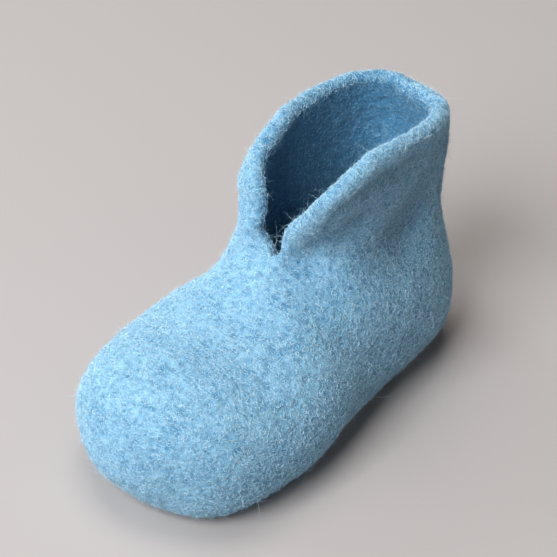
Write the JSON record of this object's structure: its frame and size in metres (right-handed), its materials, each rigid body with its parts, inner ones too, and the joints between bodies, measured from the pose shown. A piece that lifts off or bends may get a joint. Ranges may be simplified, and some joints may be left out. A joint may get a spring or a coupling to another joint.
{
  "type": "knit slipper",
  "caption": "Felted knit ankle slipper for a small child: hollow wool body with a round toe, a flat soft sole and a slit at the front of the collar.",
  "frame": {"origin": "on the floor, under the middle of the slipper's box", "axes": "toe towards -Y, heel towards +Y, left side +X, up +Z"},
  "size_m": [0.07, 0.135, 0.0839],
  "materials": {
    "felted_knit": "matte felted wool with a short nap",
    "insole_felt": "matte pressed felt"
  },
  "bodies": {
    "root": {"knit_body": "felted_knit", "insole": "insole_felt"}
  },
  "joints": []
}
